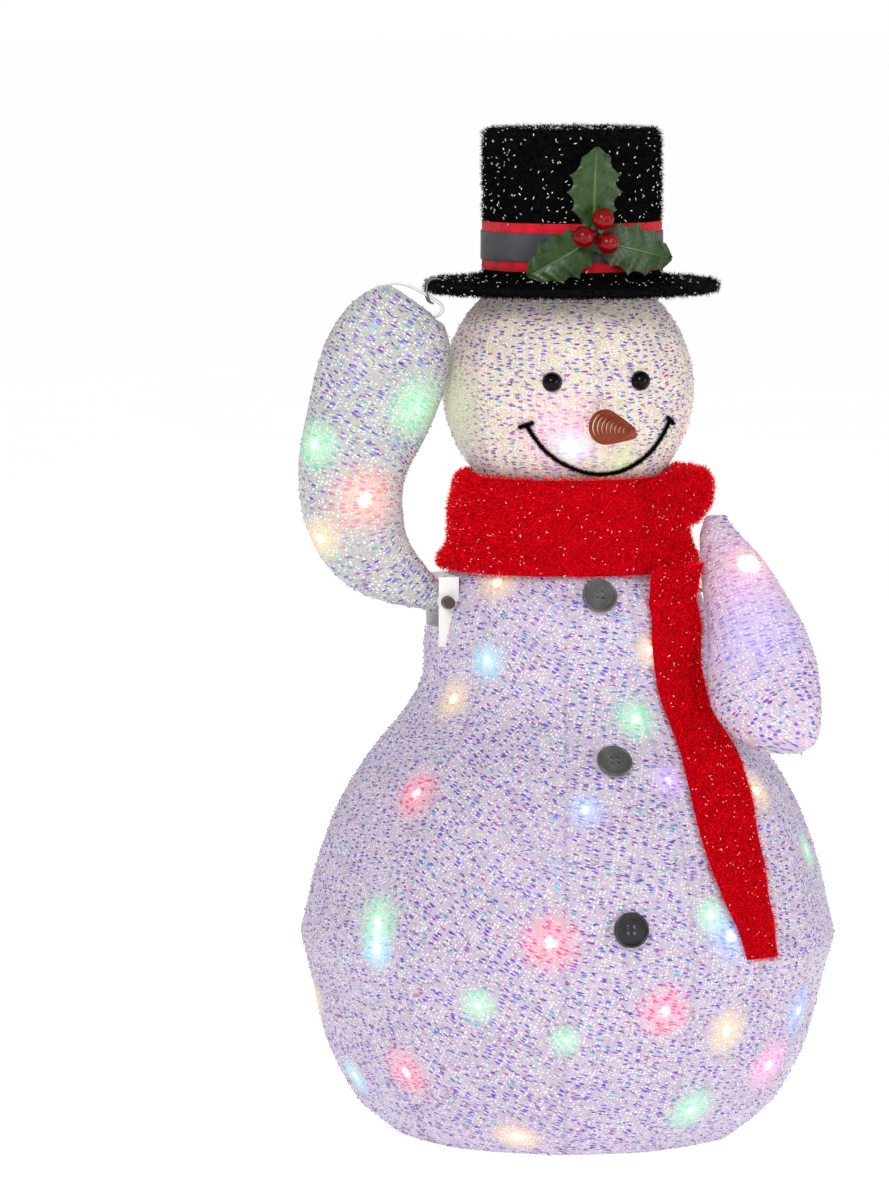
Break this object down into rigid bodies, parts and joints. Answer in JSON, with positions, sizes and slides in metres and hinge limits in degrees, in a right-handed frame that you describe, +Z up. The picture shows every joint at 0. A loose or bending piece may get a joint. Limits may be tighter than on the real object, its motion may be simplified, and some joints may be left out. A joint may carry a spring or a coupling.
{
  "type": "yard snowman",
  "caption": "Lighted wire-frame snowman with a cloth cover, buttons, scarf and a motor-swung arm that tips its top hat.",
  "frame": {"origin": "middle of the base ring, on the floor it stands on", "axes": "+Z up, the snowman's front faces -Y, and its raised arm is on the -X side"},
  "size_m": [0.6539, 0.6459, 1.205],
  "materials": {
    "crystal_cloth": "pearly net knit with colour-shifting specks",
    "red_tinsel": "shiny metallised film pile",
    "black_tinsel": "shiny metallised film pile",
    "white_steel": "white powder coat",
    "black_steel": "black powder coat",
    "zinc_steel": "zinc plated",
    "white_plastic": "moulded",
    "grey_plastic": "moulded",
    "black_gloss": "polished",
    "copper_cord": "metallised cord",
    "cream_plastic": "translucent, lit from inside",
    "ribbon_red": "ribbed ribbon",
    "satin_grey": "satin ribbon",
    "leaf_green": "glossy moulded leaf",
    "berry_red": "high gloss",
    "brown_rubber": "matt",
    "clear_wire": "clear insulation, lit bulbs"
  },
  "bodies": {
    "root": {"body_cover": "crystal_cloth", "head_cover": "crystal_cloth", "left_arm_cover": "crystal_cloth", "scarf_wrap": "red_tinsel", "scarf_tail": "red_tinsel", "mouth_cord": "black_tinsel", "base_ring": "white_steel", "body_frame": "white_steel", "head_frame": "white_steel", "left_arm_frame": "white_steel", "arm_bracket": "white_steel", "pivot_axle": "zinc_steel", "axle_clip": "zinc_steel", "idler_axle": "zinc_steel", "motor_can": "zinc_steel", "gearbox_screw_1": "zinc_steel", "gearbox_screw_2": "zinc_steel", "gearbox_screw_3": "zinc_steel", "gearbox_screw_4": "zinc_steel", "pivot_bush_front": "white_plastic", "pivot_bush_rear": "white_plastic", "gearbox_front": "grey_plastic", "gearbox_rear": "grey_plastic", "light_controller": "grey_plastic", "power_inlet": "grey_plastic", "eye_left": "black_gloss", "eye_right": "black_gloss", "button_top": "black_gloss", "button_middle": "black_gloss", "button_bottom": "black_gloss", "nose_winding": "copper_cord", "nose_core": "cream_plastic", "axle_cap": "brown_rubber", "led_string_body": "clear_wire", "led_string_head": "clear_wire", "led_string_left_arm": "clear_wire"},
    "raised_arm": {"right_arm_cover": "crystal_cloth", "right_arm_frame": "white_steel", "arm_hub": "white_steel", "slotted_lever": "zinc_steel", "hat_carrier": "white_steel", "brim_clip_front": "zinc_steel", "brim_clip_rear": "zinc_steel", "led_string_right_arm": "clear_wire", "hat_crown": "black_tinsel", "hat_brim": "black_tinsel", "hat_frame": "black_steel", "hat_band": "ribbon_red", "hat_band_stripe": "satin_grey", "holly_leaf_1": "leaf_green", "holly_leaf_2": "leaf_green", "holly_leaf_3": "leaf_green", "holly_berry_1": "berry_red", "holly_berry_2": "berry_red", "holly_berry_3": "berry_red"},
    "crank": {"crank": "white_plastic", "output_gear": "white_plastic"},
    "idler": {"idler_gear": "white_plastic"},
    "motor_rotor": {"motor_pinion": "zinc_steel"}
  },
  "joints": [
    {"name": "arm_swing", "type": "hinge", "parent": "root", "child": "raised_arm", "pos_m": [-0.161, 0, 0.646], "axis": [0, -1, 0], "range_deg": [0, 27]},
    {"name": "crank_turn", "type": "hinge", "parent": "root", "child": "crank", "pos_m": [-0.123, 0, 0.646], "axis": [0, -1, 0], "range_deg": [0, 207]},
    {"name": "idler_turn", "type": "hinge", "parent": "root", "child": "idler", "pos_m": [-0.107, 0, 0.646], "axis": [0, -1, 0], "range_deg": [-621, 0]},
    {"name": "motor_turn", "type": "hinge", "parent": "root", "child": "motor_rotor", "pos_m": [-0.091, 0, 0.646], "axis": [0, -1, 0], "range_deg": [0, 1863]}
  ],
  "couplings": [
    {"joint": "crank_turn", "follows": "arm_swing", "ratio": 7.6667},
    {"joint": "idler_turn", "follows": "arm_swing", "ratio": -23},
    {"joint": "motor_turn", "follows": "arm_swing", "ratio": 69}
  ]
}
